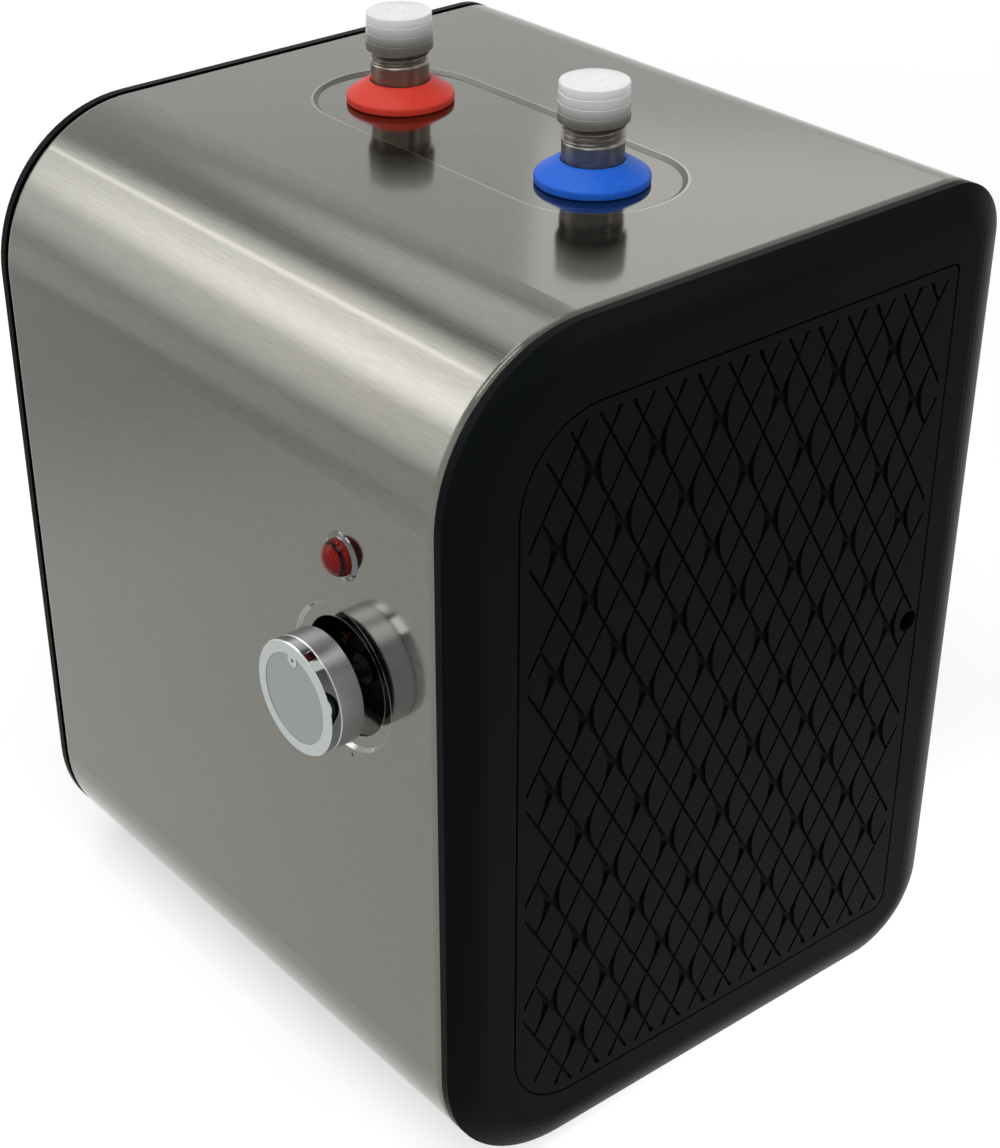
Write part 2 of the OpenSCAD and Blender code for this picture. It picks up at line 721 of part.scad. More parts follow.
module thermostat_case() color("#242526") on_knob() difference() {
  union() {
    translate([0, 0, case_z - case_d]) linear_extrude(case_d) rounded_rect(case_w, case_h, case_edge);
    for (x = [-1, 1])
      translate([x * case_w / 4 - blade_w / 2, -case_h / 4, case_z - case_d - blade_l])
        cube([blade_w, blade_t, blade_l]);
  }
  translate([0, 0, bush_top_z - bush_l]) cylinder(r = bush_r + slip, h = big);
  translate([0, 0, shaft_foot_z - 1]) cylinder(r = shaft_r + ease, h = big);
  at_case_screws() translate([0, 0, case_z - case_screw_l - over]) cylinder(r = screw_r + slip, h = big);
}

module thermostat_bracket() color("#2b2c2d") on_knob() difference() {
  translate([0, bracket_h / 2, case_z]) rotate([90, 0, 0])
    hat(bracket_w, bracket_depth + bracket_t - sheet, bracket_foot, bracket_t, bracket_h);
  translate([0, 0, case_z - over]) cylinder(r = bush_r + slip, h = bracket_t + 2 * over);
  at_case_screws() translate([0, 0, case_z - over]) cylinder(r = screw_r + slip, h = bracket_t + 2 * over);
}

module thermostat_screws() color("#b5793f") on_knob() at_case_screws() difference() {
  union() {
    translate([0, 0, case_z - case_screw_l]) cylinder(r = screw_r, h = case_screw_l + bracket_t);
    translate([0, 0, web_z]) cylinder(r1 = screw_head_r, r2 = screw_head_r * 0.75, h = screw_head_h);
  }
  translate([-screw_head_r, -slot_t / 2, web_z + screw_head_h / 2])
    cube([2 * screw_head_r, slot_t, screw_head_h]);
}

// Sensor bulb in its pocket, with the capillary led to the thermostat's side
module capillary() color("#b87333") {
  bulb_tip = tank_x + tank_r - pocket_l;
  bulb_end = plug_face - 4;
  along_x(bulb_tip + 3, pocket_y, pocket_z) cylinder(r = bulb_r, h = bulb_end - bulb_tip - 3);
  wire([[bulb_end, pocket_y, pocket_z], [capillary_x, pocket_y, pocket_z],
    [capillary_x, capillary_y, pocket_z], [capillary_x, capillary_y, knob_z],
    [knob_x + case_w / 2, capillary_y, knob_z]], capillary_r);
}

module on_lamp() on_front(lamp_x, lamp_z) children();
lens_seat_r = lens_r + slip;
lens_base_z = 0.4;
lens_steps = 9;
lamp_l = 14;
lamp_wall = 1.2;
lamp_holder_l = 16;
lamp_plug_l = 10;
bezel_edge = 0.2;
bezel_foot = 0.3;
bezel_lip = 0.35;
nut_r = 9;
nut_h = 3;

module lamp_bezel() color("#d4d6d8") on_lamp() difference() {
  rotate_extrude() polygon([
    [0, -lamp_l], [shank_r, -lamp_l], [shank_r, 0], [bezel_r, 0], [bezel_r - bezel_edge, bezel_foot],
    [lens_r + bezel_lip + bezel_edge, bezel_h - bezel_edge], [lens_r + bezel_lip, bezel_h], [0, bezel_h]]);
  translate([0, 0, lens_base_z]) cylinder(r = lens_seat_r, h = bezel_h);
  translate([0, 0, -lamp_l - over]) cylinder(r = shank_r - lamp_wall, h = lamp_l + bezel_h);
}

module lamp_lens() color("#c01818") on_lamp() rotate_extrude() polygon(concat(
  [[0, lens_base_z], [lens_r, lens_base_z]],
  [for (k = [0:lens_steps]) let (turn = 90 * k / lens_steps)
    [lens_r * cos(turn), bezel_h + lens_crown * sin(turn)]]));

module lamp_holder() color("#e3e0d6") on_lamp() {
  translate([0, 0, -lamp_l - lamp_holder_l]) cylinder(r = shank_r, h = lamp_holder_l);
  translate([0, 0, -lamp_l]) cylinder(r = shank_r - lamp_wall - slip, h = lamp_plug_l);
}

module lamp_nut() color("#9fa1a3") on_lamp() translate([0, 0, -sheet - nut_h]) difference() {
  cylinder(r = nut_r, h = nut_h, $fn = 6);
  translate([0, 0, -over]) cylinder(r = shank_r + slip, h = nut_h + 2 * over);
}

// Half section of the tank's outside, from its foot to its crown, grown by a gap
function dome_points(gap, base_z, from, to) = [for (k = [0:dome_steps])
  let (turn = from + (to - from) * k / dome_steps)
  [(tank_r + gap) * cos(turn), base_z + (dome_h + gap) * sin(turn)]];

module at_tank() translate([tank_x, tank_y, 0]) children();

module tank_shell() color("#a8a7a2") difference() {
  at_tank() translate([0, 0, shell_low]) tube(tank_r, tank_r - tank_wall, shell_high - shell_low);
  along_x(tank_x, tank_y, element_z) cylinder(r = socket_r + slip, h = big);
}

module tank_top() color("#a8a7a2") difference() {
  at_tank() rotate_extrude() polygon(concat(
    dome_points(0, shell_high, 0, 90), dome_points(-tank_wall, shell_high, 90, 0)));
  for (x = [hot_x, cold_x])
    at_nipple(x, shell_high) cylinder(r = neck_r + slip, h = big);
}

module tank_bottom() color("#a8a7a2") at_tank() rotate_extrude() polygon(concat(
  dome_points(0, shell_low, -90, 0), dome_points(-tank_wall, shell_low, 0, -90)));

// Plastic tube from the cold nipple to the foot of the tank, with side outlets
module dip_tube() color("#e6e4dc") at_nipple(cold_x, 0) difference() {
  rotate_extrude() polygon([
    [0, dip_end], [dip_r, dip_end], [dip_r, nipple_foot - dip_shoulder],
    [nipple_bore_r + dip_shoulder, nipple_foot - dip_shoulder],
    [nipple_bore_r + dip_shoulder, nipple_foot], [nipple_bore_r - slip, nipple_foot],
    [nipple_bore_r - slip, nipple_foot + dip_plug_l], [dip_r - dip_wall, nipple_foot + dip_plug_l],
    [dip_r - dip_wall, dip_end + dip_wall], [0, dip_end + dip_wall]]);
  for (turn = [0, 90])
    rotate(turn) translate([-dip_r - over, 0, dip_end + dip_port_rise]) rotate([0, 90, 0])
      cylinder(r = dip_port_r, h = 2 * dip_r + 2 * over);
}

// Foam block round the tank, with room for all that reaches into it
module foam() difference() {
  translate([foam_left - end_x, 0, 0]) on_right()
    linear_extrude(foam_right - foam_left) outline(sheet + ease);
  at_tank() rotate_extrude() polygon(concat(
    dome_points(ease, shell_low, -90, 0), dome_points(ease, shell_high, 0, 90)));
  at_nipple(hot_x, collar_z - sheet - ease) stadium(recess_r + 1, recess_r + 1, big, pitch);
  for (x = [hot_x, cold_x]) {
    at_nipple(x, shell_high) cylinder(r = neck_r + ease, h = big);
    at_nipple(x, collar_z - collar_spigot_l - ease) cylinder(r = collar_spigot_r + ease, h = big);
  }
  on_back(0, hanger_z) translate([0, 0, -sheet - rail_depth - ease]) linear_extrude(big)
    square([rail_l + 2 * ease, rail_h + 2 * rail_foot + 2 * ease], center = true);
  on_knob() translate([-bracket_w / 2 - bracket_foot - over, -case_h / 2 - foam_room,
    case_z - case_d - blade_l - over]) cube([big, case_h + 2 * foam_room, big]);
  on_lamp() translate([0, 0, -lamp_l - lamp_holder_l - over]) cylinder(r = nut_r + over, h = big);
  along_x(tank_x, tank_y, element_z) cylinder(r = socket_r + ease, h = big);
}

module foam_front() color("#efe9cf") difference() {
  foam();
  translate([-big / 2, tank_y, -over]) cube(big);
}

module foam_rear() color("#efe9cf") difference() {
  foam();
  translate([-big / 2, tank_y - big, -over]) cube(big);
}

module on_element(x) along_x(x, tank_y, element_z) children();

module element_socket() color("#a8a7a2") on_element(socket_x0)
  tube(socket_r, plug_r + slip, socket_x1 - socket_x0);

module element_gasket() color("#2f6b45") on_element(socket_x1) tube(socket_r, plug_r + slip, gasket_t);

// Local places of the rod's legs and of the sensor pocket on the plug
rod_at = [[rod_drop, -rod_half], [rod_drop, rod_half]];
pocket_at = [-pocket_rise, -pocket_side];

module element_plug() color("#b08d4c") difference() {
  union() {
    on_element(socket_x0) cylinder(r = plug_r, h = plug_face - socket_x0);
    on_element(plug_face) cylinder(r = plug_hex / sqrt(3), h = plug_head, $fn = 6);
  }
  on_element(0) {
    for (p = rod_at)
      translate(p) cylinder(r = rod_r + slip, h = big);
    translate(pocket_at) cylinder(r = pocket_r + slip, h = big);
  }
}

module heating_rod() color("#77787a") {
  bend_x = tank_x + tank_r - rod_l;
  for (p = rod_at)
    on_element(bend_x) translate(p) cylinder(r = rod_r, h = plug_end + 8 - bend_x);
  translate([bend_x, tank_y, rod_z]) rotate(90) rotate_extrude(angle = 180)
    translate([rod_half, 0]) circle(rod_r);
}

module sensor_pocket() color("#b87333") on_element(tank_x + tank_r - pocket_l) translate(pocket_at)
  difference() {
    cylinder(r = pocket_r, h = plug_end - tank_x - tank_r + pocket_l);
    translate([0, 0, 1.5]) cylinder(r = bulb_r + slip, h = big);
  }

// Angle bracket on the back wall, behind the right cover
module wiring_bracket() color("#a9abad") difference() {
  union() {
    translate([plate_x, plate_in_y, plate_low])
      cube([plate_t, half_d - sheet - plate_in_y, plate_high - plate_low]);
    translate([plate_x - plate_foot, half_d - sheet - plate_t, plate_low])
      cube([plate_foot + plate_t, plate_t, plate_high - plate_low]);
  }
  along_x(plate_x - over, reset_y, plate_low + earth_rise)
    cylinder(r = earth_r + slip, h = plate_t + 2 * over);
}

module thermal_cutout() color("#5b4636") along_x(plate_x + plate_t, reset_y, reset_z) difference() {
  union() {
    cylinder(r = cutout_r, h = cutout_l);
    translate([0, 0, cutout_l]) cylinder(r = nose_r, h = nose_l);
  }
  translate([0, 0, cutout_l + nose_l - stem_l - reset_travel - ease])
    cylinder(r = reset_stem_r + slip, h = big);
}

module reset_button() color("#151617") {
  along_x(nose_end - stem_l, reset_y, reset_z)
    cylinder(r = reset_stem_r, h = reset_back + 1 - nose_end + stem_l);
  along_x(reset_back, reset_y, reset_z) cylinder(r = reset_hole_r - ease, h = reset_head);
}

module at_terminals() for (k = [-1:1])
  along_x(plate_x + plate_t, reset_y, terminal_z + k * terminal_pitch) children();

module terminal_block() color("#d9d5c8") difference() {
  translate([plate_x + plate_t, reset_y - terminal_w / 2, terminal_z - 1.5 * terminal_pitch])
    cube([terminal_d, terminal_w, 3 * terminal_pitch]);
  at_terminals() {
    translate([0, 0, terminal_floor]) cylinder(r = terminal_screw_r + slip, h = terminal_d);
    translate([0, -terminal_w / 2 - over, terminal_floor - 1]) rotate([-90, 0, 0])
      cylinder(r = wire_hole_r, h = terminal_w + 2 * over);
  }
}

module terminal_screws() color("#b5a05a") at_terminals() translate([0, 0, terminal_floor])
  difference() {
    cylinder(r = terminal_screw_r, h = terminal_d - terminal_floor - 2);
    translate([-slot_t / 2, -terminal_screw_r, terminal_d - terminal_floor - 3])
      cube([slot_t, 2 * terminal_screw_r, 2]);
  }

module earth_stud() color("#b5a05a") along_x(plate_x - earth_head_h, reset_y, plate_low + earth_rise) {
  cylinder(r = earth_r, h = plate_t + earth_l);
  cylinder(r = earth_head_r, h = earth_head_h, $fn = 6);
}

// Rubber grommet where the cord would come in; a groove grips the sheet
module cord_grommet() color("#202122") on_back(grommet_x, grommet_z) rotate_extrude() polygon([
  [grommet_bore_r, -sheet - grommet_lip], [grommet_r - 1, -sheet - grommet_lip],
  [grommet_r, -sheet - grommet_lip / 2], [grommet_r, -sheet], [grommet_hole_r - slip, -sheet],
  [grommet_hole_r - slip, 0], [grommet_r, 0], [grommet_r, grommet_lip / 2],
  [grommet_r - 1, grommet_lip], [grommet_bore_r, grommet_lip]]);

sleeve();
right_end_cover();
left_end_cover();
cover_screws();
hanger_rail();
hot_collar();
cold_collar();
hot_nipple();
cold_nipple();
hot_cap();
cold_cap();
knob_body();
knob_ring();
knob_disc();
thermostat_shaft();
thermostat_bush();
thermostat_case();
thermostat_bracket();
thermostat_screws();
capillary();
lamp_bezel();
lamp_lens();
lamp_holder();
lamp_nut();
tank_shell();
tank_top();
tank_bottom();
dip_tube();
foam_front();
foam_rear();
element_socket();
element_gasket();
element_plug();
heating_rod();
sensor_pocket();
wiring_bracket();
thermal_cutout();
reset_button();
terminal_block();
terminal_screws();
earth_stud();
cord_grommet();
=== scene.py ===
# %% [markdown]
# # A storage water heater in brushed steel
# The imported model already holds every piece of the heater at its real size, from the steel
# sleeve to the tank inside. This lesson gives those pieces their finishes, adds what is too
# fine for the solids, such as the pipe threads, and sets the heater before a camera in a white
# studio.

import bmesh
import bpy
import numpy as np
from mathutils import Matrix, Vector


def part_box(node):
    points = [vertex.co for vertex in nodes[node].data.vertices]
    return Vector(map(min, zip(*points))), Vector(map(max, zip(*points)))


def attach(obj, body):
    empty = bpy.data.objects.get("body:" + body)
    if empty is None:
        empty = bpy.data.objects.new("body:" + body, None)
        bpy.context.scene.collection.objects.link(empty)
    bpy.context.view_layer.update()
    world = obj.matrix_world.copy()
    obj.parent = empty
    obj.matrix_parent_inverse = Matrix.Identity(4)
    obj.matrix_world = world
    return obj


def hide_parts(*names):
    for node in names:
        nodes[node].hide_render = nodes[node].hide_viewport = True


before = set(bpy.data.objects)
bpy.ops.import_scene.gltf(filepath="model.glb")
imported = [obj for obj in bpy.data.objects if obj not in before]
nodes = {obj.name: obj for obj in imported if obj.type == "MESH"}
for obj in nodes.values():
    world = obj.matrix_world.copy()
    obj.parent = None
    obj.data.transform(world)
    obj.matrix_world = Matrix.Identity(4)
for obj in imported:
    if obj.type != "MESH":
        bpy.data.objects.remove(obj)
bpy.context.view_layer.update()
MM = 0.001


def box_mm(node):
    """Lowest and highest corner of a CAD node, in millimetres."""
    return [np.array(corner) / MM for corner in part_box(node)]


body_low, body_high = box_mm("sleeve")
print("nodes", len(nodes), "sleeve mm", np.round(body_high - body_low, 1))

# %% [markdown]
# ## Colour and shader nodes
# Colours are read off as sRGB hex values, but a shader computes in linear light, so one
# function converts them. A second function adds any shader node with its settings and links,
# which keeps a material readable as a short recipe. No real surface is the same all over, so
# the simple finishes share one recipe in which a fine grain varies colour, gloss and height.

# %% Helpers for materials
# Noise keeps near its middle, so this part of its range is stretched to the full one
NOISE_LOW, NOISE_HIGH = 0.3, 0.7


def colour(code):
    """Linear RGBA of an sRGB code: c / 12.92 in the dark part, and above that part
    ((c + 0.055) / 1.055) ^ 2.4."""
    c = np.array([int(code[i:i + 2], 16) for i in (1, 3, 5)]) / 255
    linear = np.where(c <= 0.04045, c / 12.92, ((c + 0.055) / 1.055) ** 2.4)
    return (*linear, 1.0)


def add(tree, kind, inputs=None, **settings):
    """Add one shader node; an input takes either a value or the socket that feeds it."""
    node = tree.nodes.new("ShaderNode" + kind)
    for name, value in settings.items():
        setattr(node, name, value)
    for name, value in (inputs or {}).items():
        if isinstance(value, bpy.types.NodeSocket):
            tree.links.new(value, node.inputs[name])
        else:
            node.inputs[name].default_value = value
    return node


def new_tree(name):
    """A material and its empty node tree."""
    material = bpy.data.materials.new(name)
    material.use_nodes = True
    material.node_tree.nodes.clear()
    return material, material.node_tree


def principled(tree, **inputs):
    """End a tree with the usual surface shader; an underscore in a name stands for a space."""
    values = {key.replace("_", " "): value for key, value in inputs.items()}
    shader = add(tree, "BsdfPrincipled", values)
    add(tree, "OutputMaterial", {"Surface": shader.outputs[0]})


def grained(name, shades, rough, grain, drawn=(1, 1, 1), relief=0.02, **inputs):
    """A finish with a fine grain: noise as wide as one grain, in mm, and drawn out along the
    axes mixes two colours and two roughnesses and lifts the surface by a part of the grain."""
    material, tree = new_tree(name)
    place = add(tree, "TexCoord").outputs["Object"]
    cells = tuple(1 / (grain * MM * long) for long in drawn)
    spread = add(tree, "Mapping", {"Vector": place, "Scale": cells}).outputs[0]
    noise = add(tree, "TexNoise", {"Vector": spread, "Scale": 1.0, "Detail": 3.0}).outputs["Fac"]
    stretch = {"Value": noise, "From Min": NOISE_LOW, "From Max": NOISE_HIGH}
    tone = add(tree, "MapRange", stretch).outputs[0]
    pair = {"Factor": tone, 6: colour(shades[0]), 7: colour(shades[1])}
    shade = add(tree, "Mix", pair, data_type="RGBA").outputs[2]
    gloss = {"Value": tone, "To Min": rough[0], "To Max": rough[1]}
    polish = add(tree, "MapRange", gloss).outputs[0]
    lift = {"Height": noise, "Strength": 1.0, "Distance": relief * grain * MM}
    uneven = add(tree, "Bump", lift).outputs[0]
    principled(tree, Base_Color=shade, Roughness=polish, Normal=uneven, **inputs)
    return material


def dress(material, *names):
    """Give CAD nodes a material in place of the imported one."""
    for name in names:
        nodes[name].data.materials.clear()
        nodes[name].data.materials.append(material)
    print(material.name, "on", ", ".join(names))


print("sRGB mid grey in linear light", round(float(colour("#808080")[0]), 3))

# %% [markdown]
# ## Surfaces from arrays
# A turned piece is a profile swept round an axis, so it is a grid of points in two
# parameters: the place along the profile and the angle. numpy computes the whole grid at
# once. Welding the points that coincide closes the seam and the poles.

# %% Profiles and grids
CURVE_STEPS = 6
ROUND_STEPS = 96
# A corner's curve takes up less than half of the shorter side beside it
SIDE_SHARE = 0.45
WELD = 0.002 * MM


def rounded(profile, radius):
    """Corners of an open profile made round: corner P between A and B, a radius away on its
    two sides, becomes (1 - s)^2 A + 2 s (1 - s) P + s^2 B."""
    p = np.asarray(profile, float)
    corner = p[1:-1]

    def towards(end):
        way = end - corner
        length = np.linalg.norm(way, axis=1, keepdims=True)
        return corner + way / length * np.minimum(radius, SIDE_SHARE * length)

    a, b = towards(p[:-2])[:, None], towards(p[2:])[:, None]
    s = np.linspace(0, 1, CURVE_STEPS)[None, :, None]
    curve = (1 - s) ** 2 * a + 2 * s * (1 - s) * corner[:, None] + s ** 2 * b
    return np.concatenate([p[:1], curve.reshape(-1, 2), p[-1:]])


def turned(profile):
    """A profile of (radius, height) swept about its axis: x = r cos t, y = r sin t, z = h."""
    turn = np.linspace(0, 2 * np.pi, ROUND_STEPS + 1)
    r, h = profile[:, 0, None], profile[:, 1, None]
    return np.stack(np.broadcast_arrays(r * np.cos(turn), r * np.sin(turn), h), -1)


def piece(name, points, material, body, replaced, sharp=35):
    """A grid of points in millimetres made a mesh that rides on a body in a node's place."""
    rows, columns = points.shape[:2]
    index = np.arange(rows * columns).reshape(rows, columns)
    quads = np.stack([index[:-1, :-1], index[:-1, 1:], index[1:, 1:], index[1:, :-1]], -1)
    mesh = bpy.data.meshes.new(name)
    mesh.from_pydata((points.reshape(-1, 3) * MM).tolist(), [], quads.reshape(-1, 4).tolist())
    shape = bmesh.new()
    shape.from_mesh(mesh)
    bmesh.ops.remove_doubles(shape, verts=shape.verts, dist=WELD)
    bmesh.ops.recalc_face_normals(shape, faces=shape.faces)
    shape.to_mesh(mesh)
    shape.free()
    mesh.polygons.foreach_set("use_smooth", np.ones(len(mesh.polygons), bool))
    mesh.set_sharp_from_angle(angle=np.radians(sharp))
    mesh.materials.append(material)
    made = bpy.data.objects.new(name, mesh)
    bpy.context.scene.collection.objects.link(made)
    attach(made, body)
    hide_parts(replaced)
    print(name, len(mesh.vertices), "points")


print("columns round a turned piece", ROUND_STEPS)

# %% [markdown]
# ## Camera
# The photograph was taken by hand from the right, above the heater. Fitting a pinhole camera
# to the sleeve's edges gave the place and the turn below. The picture was cropped afterwards,
# which is why the lens is shifted.

# %% The photograph's camera
PHOTO_PX = (1000, 1148)
FOCAL_PX = 2269.5
CENTRE_PX = (422.5, 668.5)
CAMERA_MM = np.array([557.6, -452.6, 573.2])
CAMERA_TURN = np.radians([56.791, 0.895, 52.033])
SENSOR_MM = 36

camera = bpy.data.cameras.new("camera")
long_side = max(PHOTO_PX)
camera.sensor_width = SENSOR_MM
camera.lens = FOCAL_PX * SENSOR_MM / long_side
camera.shift_x = (PHOTO_PX[0] / 2 - CENTRE_PX[0]) / long_side
camera.shift_y = (CENTRE_PX[1] - PHOTO_PX[1] / 2) / long_side
camera.clip_start = 0.01
camera_object = bpy.data.objects.new("camera", camera)
camera_object.location = CAMERA_MM * MM
camera_object.rotation_euler = CAMERA_TURN
bpy.context.scene.collection.objects.link(camera_object)
bpy.context.scene.camera = camera_object
print("lens mm", round(camera.lens, 2))

# %% [markdown]
# ## Studio floor and sky
# Metal shows its surroundings, so the studio matters as much as the steel. Floor and sky look
# white to the camera and in reflections, but light the heater only as a pale room would: the
# light path tells the two kinds of ray apart. The lamps light the paper less further out, so its
# glow rises there and it stays white. It is brighter at the right, for the black cover to
# mirror, and greyer at the front left, which the upper part of the steel front mirrors. The sky
# greys overhead, as a studio's ceiling does, and holds three soft glows, like windows behind
# curtains: the bend between the front and the top mirrors them as a band with soft edges.

# %% White floor and sky
FLOOR_SIZE = 8.0
# Centre of a patch of floor, the distances at which it starts to change and has changed, and
# the glow within and beyond
FLOOR_PATCHES = (
    ((0.0, 0.0, 0.0), 0.6, 2.0, 0.6, 0.82),
    ((0.2, 0.08, 0.0), 0.03, 0.26, 0.4, 0.0),
    ((-0.62, -0.4, 0.0), 0.12, 0.38, -0.28, 0.0),
)
SKY_LIGHT = 0.36
CEILING_GLOW = 0.55
CEILING_FROM, CEILING_TO = 0.45, 0.85
# Direction, the angles at which a glow starts to fade and has gone, and its strength
GLOWS = (
    ((-0.68, -0.42, 0.6), 4, 22, 2.6),
    ((-0.66, -0.66, 0.33), 5, 24, 1.3),
    ((-0.6, 0.25, 0.76), 8, 18, 1.0),
)


def seen_directly(tree):
    """1 for rays from the camera, from gloss and through clear pieces; 0 for diffuse light."""
    path = add(tree, "LightPath").outputs
    seen = {0: path["Is Camera Ray"], 1: path["Is Glossy Ray"]}
    mirrored = add(tree, "Math", seen, operation="MAXIMUM").outputs[0]
    through = {0: mirrored, 1: path["Is Transmission Ray"]}
    return add(tree, "Math", through, operation="MAXIMUM").outputs[0]


floor_material, tree = new_tree("white studio paper")
floor_place = add(tree, "TexCoord").outputs["Object"]
patched = 0.0
for centre, first, last, within, beyond in FLOOR_PATCHES:
    from_centre = {0: floor_place, 1: centre}
    away = add(tree, "VectorMath", from_centre, operation="DISTANCE").outputs["Value"]
    fade = {"Value": away, "From Min": first, "From Max": last, "To Min": within, "To Max": beyond}
    patch = add(tree, "MapRange", fade, interpolation_type="SMOOTHSTEP").outputs[0]
    patched = add(tree, "Math", {0: patched, 1: patch}, operation="ADD").outputs[0]
glow = add(tree, "Math", {0: seen_directly(tree), 1: patched}, operation="MULTIPLY")
floor_paint = add(tree, "BsdfDiffuse", {"Color": colour("#c4c4c3")})
floor_glow = add(tree, "Emission", {"Color": colour("#ffffff"), "Strength": glow.outputs[0]})
both = add(tree, "AddShader", {0: floor_paint.outputs[0], 1: floor_glow.outputs[0]})
add(tree, "OutputMaterial", {"Surface": both.outputs[0]})

edge = FLOOR_SIZE / 2
floor_mesh = bpy.data.meshes.new("studio_floor")
corners = [(-edge, -edge, 0), (edge, -edge, 0), (edge, edge, 0), (-edge, edge, 0)]
floor_mesh.from_pydata(corners, [], [(0, 1, 2, 3)])
floor_mesh.materials.append(floor_material)
floor = bpy.data.objects.new("studio_floor", floor_mesh)
bpy.context.scene.collection.objects.link(floor)

world = bpy.data.worlds.new("studio sky")
bpy.context.scene.world = world
world.use_nodes = True
world.node_tree.nodes.clear()
tree = world.node_tree
way = add(tree, "TexCoord").outputs["Generated"]
upwards = add(tree, "SeparateXYZ", {"Vector": way}).outputs["Z"]
bright = add(tree, "MapRange", {
    "Value": upwards, "From Min": CEILING_FROM, "From Max": CEILING_TO,
    "To Min": 1.0, "To Max": CEILING_GLOW}).outputs[0]
for direction, inner, outer, strength in GLOWS:
    centre = np.array(direction) / np.linalg.norm(direction)
    near = add(tree, "VectorMath", {0: way, 1: centre}, operation="DOT_PRODUCT").outputs["Value"]
    fade = {"Value": near, "From Min": np.cos(np.radians(outer)),
            "From Max": np.cos(np.radians(inner)), "To Min": 0.0, "To Max": strength}
    window = add(tree, "MapRange", fade, interpolation_type="SMOOTHSTEP").outputs[0]
    bright = add(tree, "Math", {0: bright, 1: window}, operation="ADD").outputs[0]
brightness = add(tree, "MapRange", {
    "Value": seen_directly(tree), "To Min": SKY_LIGHT, "To Max": bright})
sky = add(tree, "Background", {"Color": colour("#ffffff"), "Strength": brightness.outputs[0]})
add(tree, "OutputWorld", {"Surface": sky.outputs[0]})
bpy.context.scene.view_settings.view_transform = "Standard"
print("floor m", FLOOR_SIZE, "patches", len(FLOOR_PATCHES), "glows", len(GLOWS))

# %% [markdown]
# ## Soft boxes
# Each lamp has one task. The top box lights the heater from above and in front. The strip box
# lies parallel to the bend, which mirrors it as a thin bright line. The back left one is
# mirrored in the right end of the top and lifts it, the back right one runs along the shoulder
# of the black cover, and the last two fill the sides that the top box leaves dark.

# %% Six lamps
HEATER_MIDDLE = (0, 0, 0.2)


def soft_box(name, place, size, watts, target=HEATER_MIDDLE):
    """An area lamp, width and height in metres, turned towards a point."""
    lamp = bpy.data.lights.new(name, "AREA")
    lamp.shape = "RECTANGLE"
    lamp.size, lamp.size_y = size
    lamp.energy = watts
    box = bpy.data.objects.new(name, lamp)
    box.location = place
    way = np.array(target) - np.array(place)
    flat = np.hypot(way[0], way[1])
    box.rotation_euler = (np.pi / 2 + np.arctan2(way[2], flat), 0, np.arctan2(-way[0], way[1]))
    bpy.context.scene.collection.objects.link(box)


soft_box("left box", (-1.2, -0.2, 2.3), (0.6, 0.6), 4)
soft_box("strip box", (-1.45, -0.55, 1.36), (0.9, 0.06), 0.35, target=(-1.45, 0.5, 0.2))
soft_box("back left box", (-1.15, 1.32, 1.2), (0.5, 0.5), 0.45)
soft_box("back right box", (1.6, 1.0, 0.95), (0.5, 0.5), 3)
soft_box("right box", (1.3, -0.4, 1.3), (0.8, 0.8), 2)
soft_box("top box", (0.1, -0.6, 1.75), (1.0, 1.0), 14)

# %% [markdown]
# ## Brushed steel
# The sleeve is stainless sheet, finely brushed along its length before it was bent. It still
# mirrors the collars and the knob, because the scratches are shallow, and spreads a highlight
# across them. The shader's anisotropy does the spreading, and noise drawn out along X gives
# the scratches. Real ones are about 0.05 mm wide; they are drawn wider so that they show.
# Pressed edges have a small radius, which the bevel node gives to the shading alone. Round the
# dish and in a line round the recess the sheet is painted a little lighter, a painted highlight
# on the pressed steps, while the recess's slope is rougher and painted a little darker, a painted
# shade.

# %% Stainless sheet
SCRATCH_LONG = 9 * MM
SCRATCH_WIDE = 0.3 * MM
SCRATCH_DEEP = 0.01 * MM
PRESSED_ROUND = 0.7 * MM
# Inner and outer radius in mm: the dish's step round the knob, then the recess's slope and
# the line beyond it, both round the two connections
DISH_STEP = (24.0, 25.2)
RECESS_SLOPE = (28.6, 30.3)
RECESS_LINE = (30.3, 31.1)


def middle_of(node):
    """Middle of a CAD node's box, in millimetres."""
    return sum(box_mm(node)) / 2


def step_band(tree, place, first, last, step):
    """1 on a pressed step, 0 elsewhere: the distance from the nearest point of a line along X
    lies between the two radii of the step."""
    x = add(tree, "SeparateXYZ", {"Vector": place}).outputs["X"]
    along = add(tree, "Clamp", {"Value": x, "Min": first[0] * MM, "Max": last[0] * MM}).outputs[0]
    line = {"X": along, "Y": first[1] * MM, "Z": first[2] * MM}
    nearest = add(tree, "CombineXYZ", line).outputs[0]
    away = add(tree, "VectorMath", {0: place, 1: nearest}, operation="DISTANCE").outputs["Value"]
    inside = {0: away, 1: np.mean(step) * MM, 2: np.ptp(step) / 2 * MM}
    return add(tree, "Math", inside, operation="COMPARE").outputs[0]


